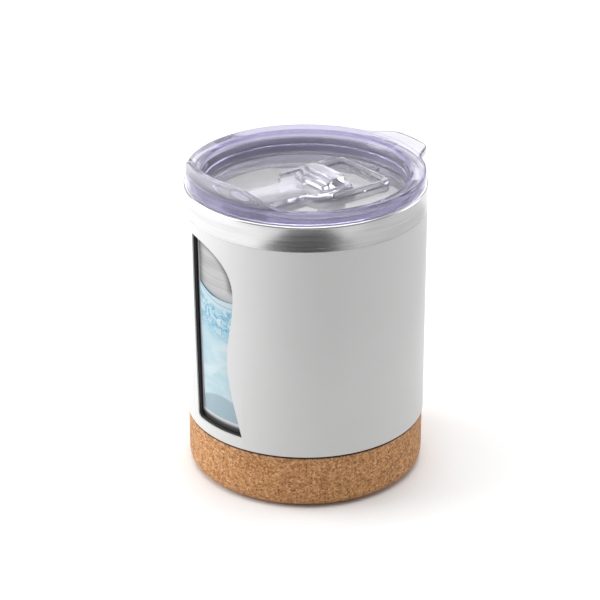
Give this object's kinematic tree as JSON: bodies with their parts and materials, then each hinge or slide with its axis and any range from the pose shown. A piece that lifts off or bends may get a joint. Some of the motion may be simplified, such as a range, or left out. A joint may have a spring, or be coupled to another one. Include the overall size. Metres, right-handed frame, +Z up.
{
  "type": "insulated travel tumbler",
  "caption": "Double-wall steel travel tumbler with a cork base, a shaped window in its painted sleeve, and a clear push-in lid with a sliding drink shutter.",
  "frame": {"origin": "centre of the cork base's underside, where the cup stands", "axes": "+Z up along the cup's axis; the drinking spout and the sleeve's window face -Y; the lid's thumb tab points to +Y and the slider opens towards +Y"},
  "size_m": [0.086, 0.0917, 0.1202],
  "materials": {
    "vessel_steel": "drawn steel, brushed around",
    "band_steel": "fine brushing around the mouth",
    "sleeve_paint": "satin light grey powder coat",
    "black_liner": "matt black",
    "water_print": "printed film, light blue water",
    "plate_steel": "plain pressed steel",
    "foam": "closed-cell foam",
    "cork": "pressed cork granules, sanded",
    "seam_rubber": "matt black",
    "lid_plastic": "clear moulded plastic with a faint violet tint",
    "lid_silicone": "translucent silicone",
    "slider_plastic": "clear moulded plastic",
    "seal_silicone": "translucent silicone",
    "clip_plastic": "clear moulded plastic"
  },
  "bodies": {
    "cup": {"inner_vessel": "vessel_steel", "mouth_band": "band_steel", "painted_sleeve": "sleeve_paint", "insulating_liner": "black_liner", "water_print": "water_print", "bottom_plate": "plate_steel", "floor_insulation": "foam", "cork_base": "cork", "seam_gasket": "seam_rubber"},
    "lid": {"lid_body": "lid_plastic", "lid_gasket": "lid_silicone"},
    "slider": {"slider": "slider_plastic", "slider_seal": "seal_silicone", "slider_clip": "clip_plastic"}
  },
  "joints": [
    {"name": "lid_lift", "type": "slide", "parent": "cup", "child": "lid", "axis": [0, 0, 1], "range_m": [0, 0.03]},
    {"name": "slider_slide", "type": "slide", "parent": "lid", "child": "slider", "axis": [0, 1, 0], "range_m": [0, 0.0104]}
  ]
}
